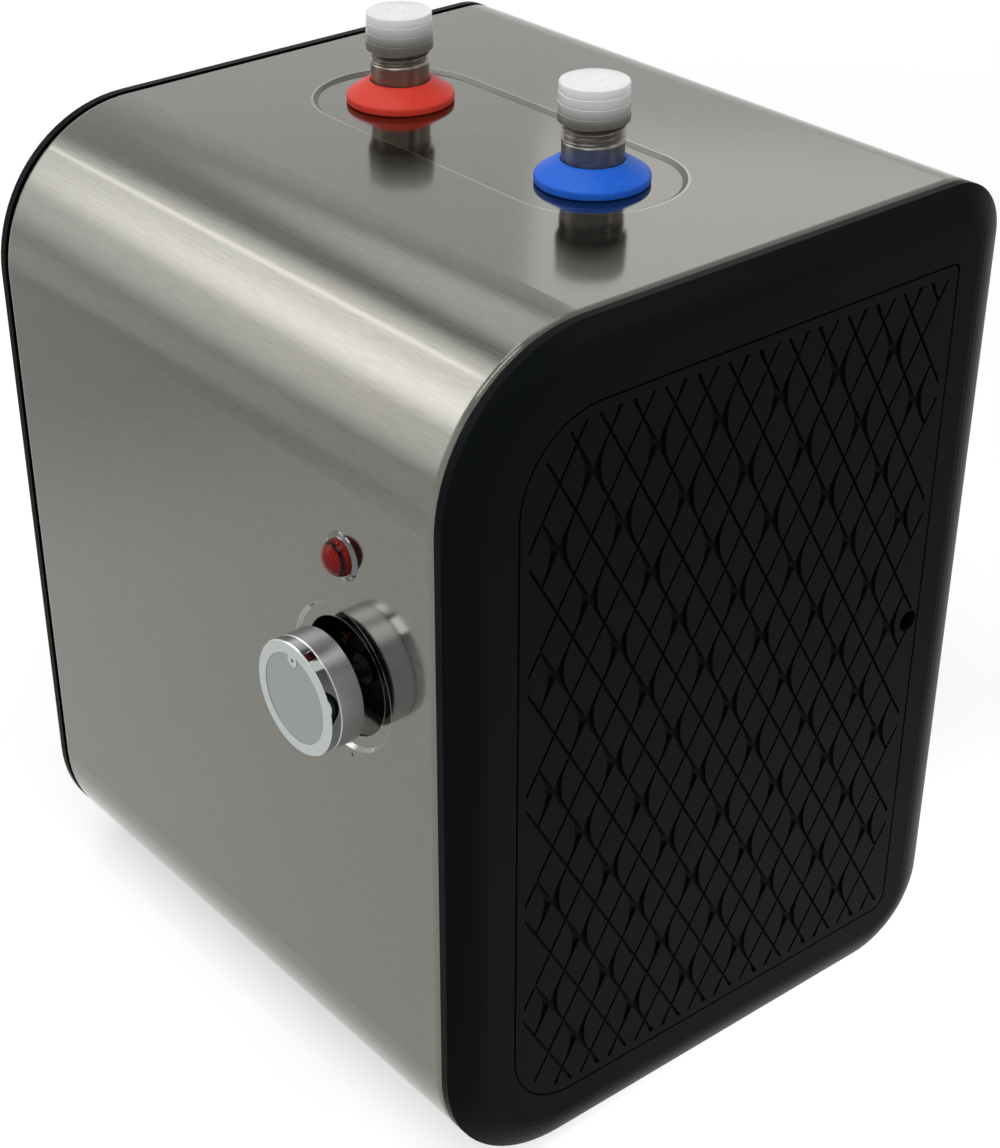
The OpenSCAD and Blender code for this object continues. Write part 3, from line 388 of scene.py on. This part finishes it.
def brushed_stainless():
    # Mid grey with a faint grain: a metal shows mostly what stands round it
    material, tree = new_tree("brushed stainless sheet")
    place = add(tree, "TexCoord").outputs["Object"]
    drawn_out = (1 / SCRATCH_LONG, 1 / SCRATCH_WIDE, 1 / SCRATCH_WIDE)
    along = add(tree, "Mapping", {"Vector": place, "Scale": drawn_out}).outputs[0]
    scratch = add(tree, "TexNoise", {"Vector": along, "Scale": 1.0, "Detail": 2.0}).outputs["Fac"]
    stretch = {"Value": scratch, "From Min": NOISE_LOW, "From Max": NOISE_HIGH}
    tone = add(tree, "MapRange", stretch).outputs[0]
    shades = {"Factor": tone, 6: colour("#6d6c67"), 7: colour("#76756f")}
    sheet = add(tree, "Mix", shades, data_type="RGBA").outputs[2]
    knob = middle_of("knob_body")
    dish = (knob[0], body_low[1], knob[2])
    hot = (*middle_of("hot_collar")[:2], body_high[2])
    cold = (*middle_of("cold_collar")[:2], body_high[2])
    dish_step = step_band(tree, place, dish, dish, DISH_STEP)
    slope = step_band(tree, place, hot, cold, RECESS_SLOPE)
    line = step_band(tree, place, hot, cold, RECESS_LINE)
    # Painted highlight: the dish's step and the line beyond the recess are painted lighter.
    # Painted shade: the recess's slope is painted darker as well as made rougher.
    painted_highlight_band = add(tree, "Math", {0: dish_step, 1: line}, operation="MAXIMUM").outputs[0]
    lighter = {"Factor": painted_highlight_band, 6: sheet, 7: colour("#908f89")}
    drawn = add(tree, "Mix", lighter, data_type="RGBA").outputs[2]
    painted_shade = {"Factor": slope, 6: drawn, 7: colour("#66655f")}
    shade = add(tree, "Mix", painted_shade, data_type="RGBA").outputs[2]
    fine = add(tree, "MapRange", {"Value": tone, "To Min": 0.08, "To Max": 0.12}).outputs[0]
    dull = {"Value": slope, "To Min": fine, "To Max": 0.45}
    rough = add(tree, "MapRange", dull).outputs[0]
    soft = add(tree, "Bevel", {"Radius": PRESSED_ROUND}, samples=4).outputs[0]
    depth = {"Height": scratch, "Strength": 0.05, "Distance": SCRATCH_DEEP, "Normal": soft}
    relief = add(tree, "Bump", depth).outputs[0]
    across = add(tree, "Tangent", direction_type="RADIAL", axis="X").outputs[0]
    principled(tree, Base_Color=shade, Metallic=1.0, Roughness=rough, Anisotropic=0.5,
               Tangent=across, Normal=relief)
    return material


dress(brushed_stainless(), "sleeve")

# %% [markdown]
# ## Moulded end covers
# The covers are black ABS. The pads of the lattice and the margin were spark-eroded in the
# mould and have a fine grain, while the grooves get little light, are rougher and are painted
# blacker, a painted shade. The grooves are found in the material by their depth below the face
# and by facing straight out.
# Moulded edges are never quite sharp, so the bevel node rounds the shading of the pads.

# %% Black ABS
MOULDED_ROUND = 0.25 * MM
GRAIN = 0.4 * MM
GRAIN_DEEP = 0.03 * MM
BELOW_FACE = 0.3
FACING_OUT = 0.9995
cover_face = box_mm("right_end_cover")[1][0]


def satin_black_abs():
    # Deep black: the lattice shows by its grooves, painted blacker as a painted shade, and the
    # light on its edges
    material, tree = new_tree("moulded black ABS")
    place = add(tree, "TexCoord").outputs["Object"]
    straight = add(tree, "NewGeometry").outputs["True Normal"]
    depth = add(tree, "SeparateXYZ", {"Vector": place}).outputs["X"]
    out = add(tree, "SeparateXYZ", {"Vector": straight}).outputs["X"]
    depth_of = add(tree, "Math", {0: depth}, operation="ABSOLUTE").outputs[0]
    out_of = add(tree, "Math", {0: out}, operation="ABSOLUTE").outputs[0]
    deep = {0: depth_of, 1: (cover_face - BELOW_FACE) * MM}
    below = add(tree, "Math", deep, operation="LESS_THAN").outputs[0]
    level = add(tree, "Math", {0: out_of, 1: FACING_OUT}, operation="GREATER_THAN").outputs[0]
    groove = add(tree, "Math", {0: below, 1: level}, operation="MULTIPLY").outputs[0]
    # Painted shade: the groove floors are painted blacker than the pads
    shades = {"Factor": groove, 6: colour("#0f1213"), 7: colour("#020303")}
    shade = add(tree, "Mix", shades, data_type="RGBA").outputs[2]
    rough = add(tree, "MapRange", {"Value": groove, "To Min": 0.32, "To Max": 0.5}).outputs[0]
    eroded = {"Vector": place, "Scale": 1 / GRAIN, "Detail": 2.0}
    grain = add(tree, "TexNoise", eroded).outputs["Fac"]
    soft = add(tree, "Bevel", {"Radius": MOULDED_ROUND}, samples=6).outputs[0]
    relief = add(tree, "Bump", {
        "Height": grain, "Strength": 0.05, "Distance": GRAIN_DEEP, "Normal": soft}).outputs[0]
    principled(tree, Base_Color=shade, Roughness=rough, Specular_IOR_Level=0.02, Normal=relief)
    return material


dress(satin_black_abs(), "right_end_cover", "left_end_cover", "reset_button")

# %% [markdown]
# ## Collars
# Red and blue collars mark the hot outlet and the cold inlet. They are turned shapes with a
# short upright rim and a cone above it. The profile could be bevelled by a modifier, but
# rounding its corners before the sweep keeps every edge round the same.

# %% Red and blue collars
# Sizes in mm
COLLAR_ROUND = 0.8
RIM_HIGH = 2.7
CONE_TOP_R = 11.35
SPIGOT_R = 13.0
SPIGOT_DEEP = 5.0
PIPE_HOLE_R = 10.2


def collar_shape(node):
    """Half section from the spigot over the rim and the cone to the pipe, swept round."""
    low, high = box_mm(node)
    axis = (low + high) / 2
    outer = (high[0] - low[0]) / 2
    seat, top = low[2] + SPIGOT_DEEP, high[2]
    section = rounded([
        [PIPE_HOLE_R, low[2]], [SPIGOT_R, low[2]], [SPIGOT_R, seat], [outer, seat],
        [outer, seat + RIM_HIGH], [CONE_TOP_R, top], [PIPE_HOLE_R, top], [PIPE_HOLE_R, low[2]]],
        COLLAR_ROUND)
    return turned(section) + (axis[0], axis[1], 0)


# Coloured polypropylene: even colour with a soft, waxy shine
red_plastic = grained("moulded red polypropylene", ("#cf3829", "#dc4030"), (0.4, 0.5), 1.2,
                      Specular_IOR_Level=0.2)
blue_plastic = grained("moulded blue polypropylene", ("#1a5fd0", "#2068dc"), (0.4, 0.5), 1.2,
                       Specular_IOR_Level=0.2)
piece("hot_ring", collar_shape("hot_collar"), red_plastic, "heater",
      "hot_collar")
piece("cold_ring", collar_shape("cold_collar"), blue_plastic, "heater",
      "cold_collar")

# %% [markdown]
# ## Threaded pipes
# Each pipe carries a half-inch pipe thread of 14 turns to the inch. The rows of its grid climb
# one pitch per turn, as the thread does, so each row keeps its own depth and the crest is a
# clean line. The last point of a row meets the first point of the row one pitch above it. A
# screw modifier could do it, but a formula keeps the ends tidy.

# %% Pipe threads
INCH = 25.4
TURNS_PER_INCH = 14
THREAD_PITCH = INCH / TURNS_PER_INCH
THREAD_DEPTH = 0.64 * THREAD_PITCH
THREAD_START = 12.3
START_RISE = 0.5
END_CHAMFER = 1.0
RUN_OUT = 0.6 * THREAD_PITCH
# Part of the pitch that is flat on each side of the groove's middle
GROOVE_FLAT = 0.1
NECK_R = 10.15
BORE_R = 8.0
ROWS_PER_TURN = 10


def threaded_pipe(node):
    """Outside: the neck, then rows at h = start + pitch * (phase + turn / 2 pi), each with
    r = crest - depth * groove(phase mod 1), fading out at both ends; inside: the bore."""
    low, high = box_mm(node)
    axis = (low + high) / 2
    crest = (high[0] - low[0]) / 2
    start, end = body_high[2] + THREAD_START, high[2]
    turn = np.linspace(0, 2 * np.pi, ROUND_STEPS + 1)
    turns = (end - start) / THREAD_PITCH
    phase = np.arange(-ROWS_PER_TURN, turns * ROWS_PER_TURN + 1)[:, None] / ROWS_PER_TURN
    h = np.clip(start + THREAD_PITCH * (phase + turn / (2 * np.pi)), start, end)
    groove = np.clip((0.5 - np.abs(phase % 1 - 0.5)) / (0.5 - GROOVE_FLAT), 0, 1)
    fade_in = np.clip((h - start) / THREAD_PITCH, 0, 1)
    fade_out = np.clip((end - h) / RUN_OUT, 0, 1)
    r = crest - THREAD_DEPTH * groove * fade_in * fade_out
    r = np.minimum(r, NECK_R + (crest - NECK_R) * np.clip((h - start) / START_RISE, 0, 1))
    r = np.minimum(r, crest - np.clip(h - (end - END_CHAMFER), 0, END_CHAMFER))
    thread = np.stack([r * np.cos(turn), r * np.sin(turn), h], -1)
    neck = turned(np.array([[BORE_R, low[2]], [NECK_R, low[2]], [NECK_R, start]]))
    bore = turned(np.array([[BORE_R, end], [BORE_R, low[2]]]))
    return np.concatenate([neck, thread, bore]) + (axis[0], axis[1], 0)


# Steel from the lathe: the fine marks run round it, so highlights spread up and down
pipe_steel = grained("turned pipe steel", ("#77736c", "#8b867e"), (0.3, 0.38), 0.3, (12, 12, 1),
                     relief=0.002, Metallic=1.0, Anisotropic=0.8, Anisotropic_Rotation=0.25)
for side in ("hot", "cold"):
    piece(side + "_pipe", threaded_pipe(side + "_nipple"), pipe_steel, "heater",
          side + "_nipple")

# %% [markdown]
# ## Transit caps
# Thin milky polyethylene caps keep dirt out of the pipes. Light passes through the wall and
# the dark pipe shows behind it, so the material lets part of the light through and blurs it.
# The cap is painted white at the top and greyer lower down, a painted shade for the dark pipe
# behind the thin wall.

# %% Milky caps
CAP_STEPS = 4
CAP_STEP_IN = 0.117
CAP_BORE_R = 10.78
CAP_TOP_THICK = 1.2
CAP_TOP_ROUND = 0.5
CAP_MOUTH_ROUND = 0.1
# Each step of the wall: where its straight part starts and ends, and the notch above it
STEP_FOOT, STEP_HEAD = 0.25, 0.1
NOTCH_IN, NOTCH_UP = 0.22, 0.05
# The gate ring on the top: radii from outside to inside, and which of them are sunk
GATE_RADII = (4.2, 3.9, 2.4, 2.1, 0.9, 0.6, 0.0)
GATE_SUNK = np.array([0, 1, 1, 0, 0, 1, 1])
GATE_DEEP = 0.3
# Parts of the cap's height up to which it is painted grey and from which it is white: a painted
# shade for the pipe behind the wall
GREY_UP_TO, WHITE_FROM = 0.15, 0.9
cap_low, cap_high = box_mm("hot_cap")


def milky_polyethylene():
    # White at the closed end, and greyer towards the open end, a painted shade for the pipe that
    # shows through
    material, tree = new_tree("moulded milky polyethylene")
    place = add(tree, "TexCoord").outputs["Object"]
    height = add(tree, "SeparateXYZ", {"Vector": place}).outputs["Z"]
    tall = cap_high[2] - cap_low[2]
    grey_to_white = {"Value": height, "From Min": (cap_low[2] + GREY_UP_TO * tall) * MM,
            "From Max": (cap_low[2] + WHITE_FROM * tall) * MM}
    up = add(tree, "MapRange", grey_to_white, interpolation_type="SMOOTHSTEP").outputs[0]
    shades = {"Factor": up, 6: colour("#817e78"), 7: colour("#fbfcfc")}
    shade = add(tree, "Mix", shades, data_type="RGBA").outputs[2]
    principled(tree, Base_Color=shade, Roughness=0.3, IOR=1.4, Transmission_Weight=0.2)
    return material


def cap_shape(node):
    """Stepped wall, flat top with a moulded gate ring, and the bore, as one closed turn."""
    low, high = box_mm(node)
    axis = (low + high) / 2
    mouth = (high[0] - low[0]) / 2
    tall = high[2] - low[2]
    step = tall / CAP_STEPS
    k = np.arange(CAP_STEPS)
    radius = mouth - CAP_STEP_IN * k
    foot = np.stack([radius, k * step + STEP_FOOT], -1)
    head = np.stack([radius, (k + 1) * step - STEP_HEAD], -1)
    notch = np.stack([radius - NOTCH_IN, (k + 1) * step + NOTCH_UP], -1)
    # The round edge of the top takes the place of the last head and notch
    outside = np.stack([foot, head, notch], 1).reshape(-1, 2)[:-2]
    bend = CAP_TOP_ROUND * np.array([[0, 1], [0.3, 0.3], [1, 0]])
    top_edge = np.array([radius[-1], tall]) - bend
    gate = np.stack([GATE_RADII, tall - GATE_DEEP * GATE_SUNK], -1)
    ceiling = tall - CAP_TOP_THICK
    lip = [mouth - CAP_MOUTH_ROUND, 0]
    inside = [[0, ceiling], [CAP_BORE_R, ceiling], [CAP_BORE_R, 0], lip]
    profile = np.concatenate([[lip], outside, top_edge, gate, inside])
    return turned(profile) + (axis[0], axis[1], low[2])


milky = milky_polyethylene()
for side in ("hot", "cold"):
    piece(side + "_cover_cap", cap_shape(side + "_cap"), milky, side + "_cap",
          side + "_cap", sharp=25)

# %% [markdown]
# ## Knob
# The knob is metallised plastic: a satin body, a bright band, and a pale face with an inlaid
# disc. The band and the face are one moulding, so one material shows both and changes from
# mirror to satin at the face's plane.

# %% Satin and bright silver
FACE_DEEP = 0.2
knob_front = box_mm("knob_ring")[0][1]


def bright_band_and_face():
    # Mirror bright on the band, even and pale on the face
    material, tree = new_tree("metallised band with lacquered face")
    place = add(tree, "TexCoord").outputs["Object"]
    depth = add(tree, "SeparateXYZ", {"Vector": place}).outputs["Y"]
    face = {0: depth, 1: (knob_front + FACE_DEEP) * MM}
    on_face = add(tree, "Math", face, operation="LESS_THAN").outputs[0]
    shades = {"Factor": on_face, 6: colour("#b4b7b9"), 7: colour("#b4b9b9")}
    shade = add(tree, "Mix", shades, data_type="RGBA").outputs[2]
    rough = add(tree, "MapRange", {"Value": on_face, "To Min": 0.04, "To Max": 0.42}).outputs[0]
    principled(tree, Base_Color=shade, Metallic=1.0, Roughness=rough)
    return material


# Satin silver: soft highlights, darker where it faces the steel
satin_silver = grained("satin metallised ABS", ("#a6a9ab", "#bcbec0"), (0.28, 0.38), 0.35,
                       relief=0.05, Metallic=1.0)
# Silver lacquer: flat grey with hardly any shine
disc_silver = grained("silver lacquered disc", ("#8e9392", "#9a9f9e"), (0.45, 0.55), 0.35,
                      relief=0.05, Metallic=1.0)
# Ground steel: clean, with fine lines round it
shaft_steel = grained("ground shaft steel", ("#8f8c86", "#aaa7a0"), (0.2, 0.3), 0.3, (8, 1, 8),
                      Metallic=1.0)
dress(satin_silver, "knob_body")
dress(bright_band_and_face(), "knob_ring")
dress(disc_silver, "knob_disc")
dress(shaft_steel, "thermostat_shaft")

# %% [markdown]
# ## Pilot lamp
# A clear red lens sits in a bright conical bezel. Rows of small prisms inside the lens spread
# the lamp's light; they are painted as bright points, a painted glint. Round them the lens is
# smooth and painted dark, a painted shade, and its edge is painted lighter again, a painted light.
# The distance from the lamp's axis picks the zone.

# %% Bezel and lens
PRISM = 0.75 * MM
# Parts of a prism's width over which its bright point fades
POINT_FADE = (0.15, 0.5)
# Parts of the lens's radius over which the prisms end and the lighter edge begins
FIELD_END = (0.78, 0.85)
EDGE_START = (0.9, 0.99)
lens_low, lens_high = box_mm("lamp_lens")
lens_at = (lens_low + lens_high) / 2
lens_r = (lens_high[0] - lens_low[0]) / 2


def prismatic_red():
    # Deep red with rows of brighter points, painted glints of the prisms, and a border painted
    # dark, a painted shade, lighter at the very edge
    material, tree = new_tree("moulded red polycarbonate")
    place = add(tree, "TexCoord").outputs["Object"]
    flat = {"Vector": place, "Scale": (1, 0, 1)}
    rows = add(tree, "Mapping", {**flat, "Rotation": (0, np.pi / 4, 0)}).outputs[0]
    prism = add(tree, "TexVoronoi", {"Vector": rows, "Scale": 1 / PRISM, "Randomness": 0.0})
    spot = add(tree, "MapRange", {
        "Value": prism.outputs["Distance"], "From Min": POINT_FADE[0],
        "From Max": POINT_FADE[1]}).outputs[0]
    # Painted glints: the prisms' points are painted brighter than the red between them
    points = {"Factor": spot, 6: colour("#c22a20"), 7: colour("#420806")}
    field = add(tree, "Mix", points, data_type="RGBA").outputs[2]
    middle = (-lens_at[0] * MM, 0, -lens_at[2] * MM)
    offset = add(tree, "Mapping", {**flat, "Location": middle}).outputs[0]
    away = add(tree, "VectorMath", {0: offset}, operation="LENGTH").outputs["Value"]
    to_edge = add(tree, "MapRange", {
        "Value": away, "From Min": EDGE_START[0] * lens_r * MM,
        "From Max": EDGE_START[1] * lens_r * MM}).outputs[0]
    # Painted shade on the border, and painted light at the very edge
    border_shades = {"Factor": to_edge, 6: colour("#160302"), 7: colour("#7d1711")}
    border = add(tree, "Mix", border_shades, data_type="RGBA").outputs[2]
    past_field = add(tree, "MapRange", {
        "Value": away, "From Min": FIELD_END[0] * lens_r * MM,
        "From Max": FIELD_END[1] * lens_r * MM}).outputs[0]
    zones = {"Factor": past_field, 6: field, 7: border}
    shade = add(tree, "Mix", zones, data_type="RGBA").outputs[2]
    principled(tree, Base_Color=shade, Roughness=0.06, IOR=1.58, Specular_IOR_Level=0.06)
    return material


# Chrome on moulded plastic: a clean mirror
bright_chrome = grained("bright chrome plating", ("#5d5f60", "#66686a"), (0.04, 0.08), 2.0,
                        relief=0.002, Metallic=1.0)
dress(bright_chrome, "lamp_bezel")
dress(prismatic_red(), "lamp_lens")

# %% [markdown]
# ## Inside and behind
# The rest is seen only through the knob's opening, at the back, or when the covers are off:
# plated brackets, the drawn steel tank, foam, brass and copper fittings, and moulded parts.
# The shared recipe is enough for them, with the grain of each.

# %% Metal pieces inside
# Zinc plating: pale grey in cloudy patches
dress(grained("zinc plated sheet steel", ("#8b8d90", "#a9abad"), (0.28, 0.42), 3.0, Metallic=1.0),
      "cover_screws", "hanger_rail", "lamp_nut", "wiring_bracket")
# Painted shade: the bracket and the bush behind the knob are painted near black and dull, so the
# opening behind the knob looks deep
dress(grained("black steel with painted shade", ("#040404", "#080808"), (0.45, 0.55), 0.8,
              Specular_IOR_Level=0.05), "thermostat_bracket", "thermostat_bush")
# Drawn sheet: dull grey with upright draw marks
dress(grained("drawn tank steel", ("#767470", "#93918c"), (0.34, 0.46), 1.0, (1, 1, 15),
              Metallic=1.0), "tank_shell", "tank_top", "tank_bottom", "element_socket")
# Brass from the bar: warm yellow
dress(grained("turned brass", ("#9a7840", "#b48e50"), (0.24, 0.36), 0.6, Metallic=1.0),
      "element_plug", "terminal_screws", "earth_stud")
# Copper tube: red brown, tarnished in patches
dress(grained("drawn copper", ("#94522f", "#b56b43"), (0.25, 0.4), 4.0, Metallic=1.0),
      "capillary", "sensor_pocket")
# Copper washed screws: brown, bright only on the edges
dress(grained("copper washed steel", ("#6a3f2a", "#8f5a3c"), (0.2, 0.35), 0.8, Metallic=1.0),
      "thermostat_screws")
# Oxidised alloy: dark grey with a dusty bloom
dress(grained("oxidised element sheath", ("#4c4d50", "#6c6d70"), (0.38, 0.55), 2.0, Metallic=1.0),
      "heating_rod")

# %% Moulded and soft pieces inside
# Phenolic: dense, dull black or brown with faint flow marks
dress(grained("moulded black phenolic", ("#111212", "#1a1b1b"), (0.45, 0.55), 2.5),
      "thermostat_case")
dress(grained("moulded brown phenolic", ("#443325", "#574232"), (0.45, 0.55), 2.5),
      "thermal_cutout")
# Polyamide: warm white with a low shine
dress(grained("moulded ivory polyamide", ("#cfcbbd", "#ddd9cc"), (0.45, 0.55), 3.0),
      "lamp_holder", "dip_tube", "terminal_block")
# Beaded foam: pale and matt, with beads about 4 mm across
dress(grained("moulded polystyrene foam", ("#cdc9b8", "#e6e2d2"), (0.85, 0.95), 4.0, relief=0.15),
      "foam_front", "foam_rear")
# Pressed fibre: matt green
dress(grained("pressed green fibre", ("#275c3a", "#37784f"), (0.75, 0.85), 0.8), "element_gasket")
# Rubber: soft black with a grey bloom
dress(grained("moulded black rubber", ("#0e0f10", "#181a1b"), (0.55, 0.7), 1.5,
              Specular_IOR_Level=0.2), "cord_grommet")
